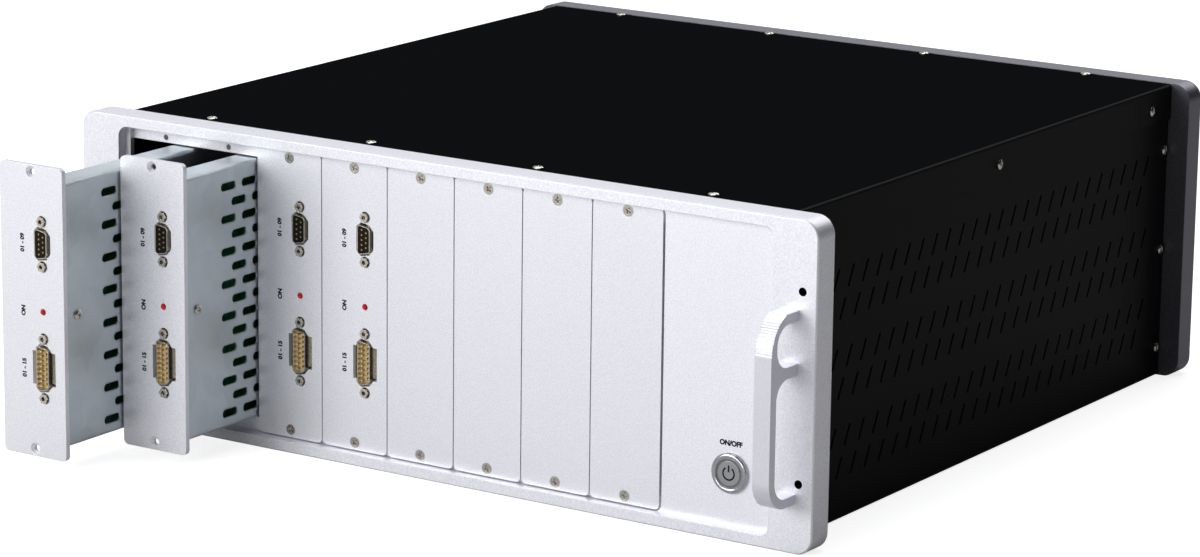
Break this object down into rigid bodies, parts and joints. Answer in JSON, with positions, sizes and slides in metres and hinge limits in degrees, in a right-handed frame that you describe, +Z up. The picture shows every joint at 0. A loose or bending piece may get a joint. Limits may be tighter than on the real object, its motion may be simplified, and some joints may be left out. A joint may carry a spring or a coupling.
{
  "type": "potentiostat",
  "caption": "Rack-width potentiostat: machined front panel with plug-in modules, blank plates, pull handles and power button on a folded black vented case.",
  "frame": {"origin": "centre of the underside, midway between the front and the rear panel face", "axes": "+X to the right seen from the front, +Y from the front panel to the rear panel, +Z up"},
  "size_m": [0.4826, 0.5765, 0.1785],
  "materials": {
    "anodised": "fine bead-blasted, natural anodised",
    "plate_anodised": "fine bead-blasted, natural anodised",
    "handle_metal": "satin anodised",
    "black_paint": "smooth black powder coat",
    "zinc_steel": "galvanised sheet",
    "board_green": "solder-masked glass-fibre board",
    "plated_shell": "nickel plated",
    "black_plastic": "moulded",
    "cream_plastic": "moulded",
    "guide_plastic": "moulded",
    "screw_steel": "nickel plated",
    "polished_steel": "polished stainless",
    "brass_post": "plated brass",
    "red_lens": "clear red moulding"
  },
  "bodies": {
    "chassis": {"backplane": "board_green", "blank_plate_5": "plate_anodised", "blank_plate_6": "plate_anodised", "blank_plate_7": "plate_anodised", "blank_plate_8": "plate_anodised", "data_port": "plated_shell", "fan_frame": "black_plastic", "fan_guard": "zinc_steel", "front_panel": "anodised", "ground_post": "brass_post", "handle_left": "handle_metal", "handle_right": "handle_metal", "lower_case": "black_paint", "lower_guides": "guide_plastic", "mains_inlet": "black_plastic", "module_3_board": "board_green", "module_3_core_15": "cream_plastic", "module_3_core_9": "black_plastic", "module_3_jackscrews": "screw_steel", "module_3_led": "red_lens", "module_3_plate": "plate_anodised", "module_3_shell_15": "plated_shell", "module_3_shell_9": "plated_shell", "module_3_shield": "zinc_steel", "module_4_board": "board_green", "module_4_core_15": "cream_plastic", "module_4_core_9": "black_plastic", "module_4_jackscrews": "screw_steel", "module_4_led": "red_lens", "module_4_plate": "plate_anodised", "module_4_shell_15": "plated_shell", "module_4_shell_9": "plated_shell", "module_4_shield": "zinc_steel", "pan_head_screws": "screw_steel", "plate_screws": "screw_steel", "power_supply": "zinc_steel", "rear_panel": "anodised", "switch_housing": "polished_steel", "top_cover": "black_paint", "upper_guides": "guide_plastic"},
    "module_1": {"module_1_plate": "plate_anodised", "module_1_shield": "zinc_steel", "module_1_board": "board_green", "module_1_shell_9": "plated_shell", "module_1_core_9": "black_plastic", "module_1_shell_15": "plated_shell", "module_1_core_15": "cream_plastic", "module_1_jackscrews": "screw_steel", "module_1_led": "red_lens"},
    "module_2": {"module_2_plate": "plate_anodised", "module_2_shield": "zinc_steel", "module_2_board": "board_green", "module_2_shell_9": "plated_shell", "module_2_core_9": "black_plastic", "module_2_shell_15": "plated_shell", "module_2_core_15": "cream_plastic", "module_2_jackscrews": "screw_steel", "module_2_led": "red_lens"},
    "button": {"switch_button": "polished_steel"},
    "fan": {"fan_rotor": "black_plastic"}
  },
  "joints": [
    {"name": "module_1_slide", "type": "slide", "parent": "chassis", "child": "module_1", "axis": [0, -1, 0], "range_m": [-0.112, 0.2]},
    {"name": "module_2_slide", "type": "slide", "parent": "chassis", "child": "module_2", "axis": [0, -1, 0], "range_m": [-0.064, 0.248]},
    {"name": "power_button", "type": "slide", "parent": "chassis", "child": "button", "axis": [0, 1, 0], "range_m": [0, 0.002], "stiffness_N_per_m": 800},
    {"name": "fan_spin", "type": "hinge", "parent": "chassis", "child": "fan", "pos_m": [-0.13, 0.2115, 0.0885], "axis": [0, 1, 0], "continuous": true}
  ]
}
